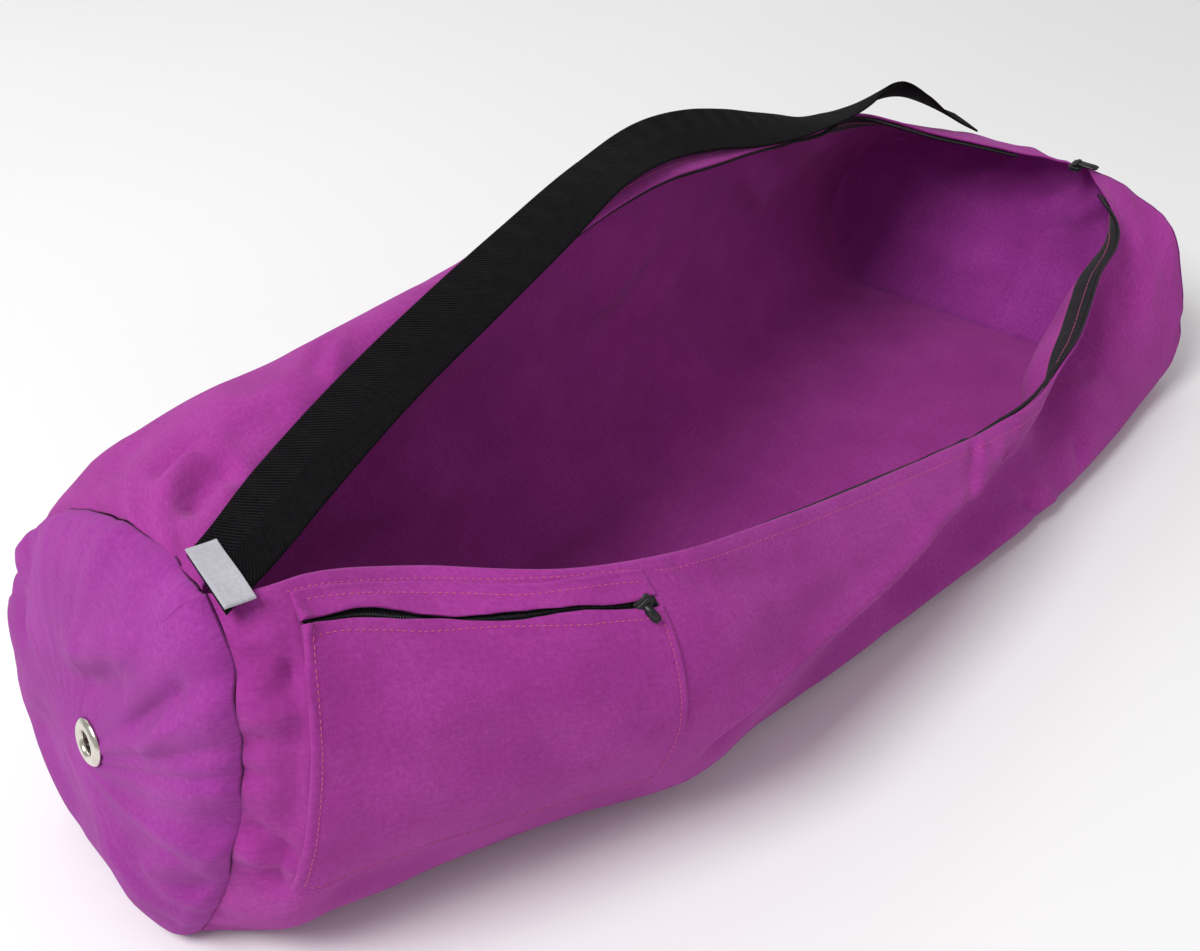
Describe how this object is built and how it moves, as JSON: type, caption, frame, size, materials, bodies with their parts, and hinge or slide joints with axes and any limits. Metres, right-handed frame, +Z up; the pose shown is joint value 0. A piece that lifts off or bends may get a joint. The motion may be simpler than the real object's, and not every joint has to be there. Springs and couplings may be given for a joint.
{
  "type": "yoga mat bag",
  "caption": "Soft cylindrical fabric bag lying open along its full-length zip, with a webbing shoulder strap, an outside zip pocket and a vent eyelet in its end panel.",
  "frame": {"origin": "middle of the bag's plan box, on the surface it rests on", "axes": "+X along the bag from the end panel with the eyelet to the other one, +Z up, -Y the side with the pocket"},
  "size_m": [0.8478, 0.3301, 0.2464],
  "materials": {
    "canvas": "matte orchid cotton canvas",
    "webbing": "black twill webbing",
    "zip_tape": "black woven zip tape",
    "zip_coil": "black moulded coil",
    "slider_metal": "black enamelled",
    "nickel": "satin nickel",
    "label_cloth": "white woven tab, left bare"
  },
  "bodies": {
    "root": {"main_panel": "canvas", "near_end_panel": "canvas", "far_end_panel": "canvas", "grommet": "nickel", "zip_tape_front": "zip_tape", "zip_teeth_front": "zip_coil", "zip_tape_back": "zip_tape", "zip_teeth_back": "zip_coil", "zip_slider": "slider_metal", "pocket_zip": "zip_tape", "pocket_strip": "canvas", "pocket_panel": "canvas", "pocket_slider": "slider_metal", "strap": "webbing", "label": "label_cloth"}
  },
  "joints": []
}
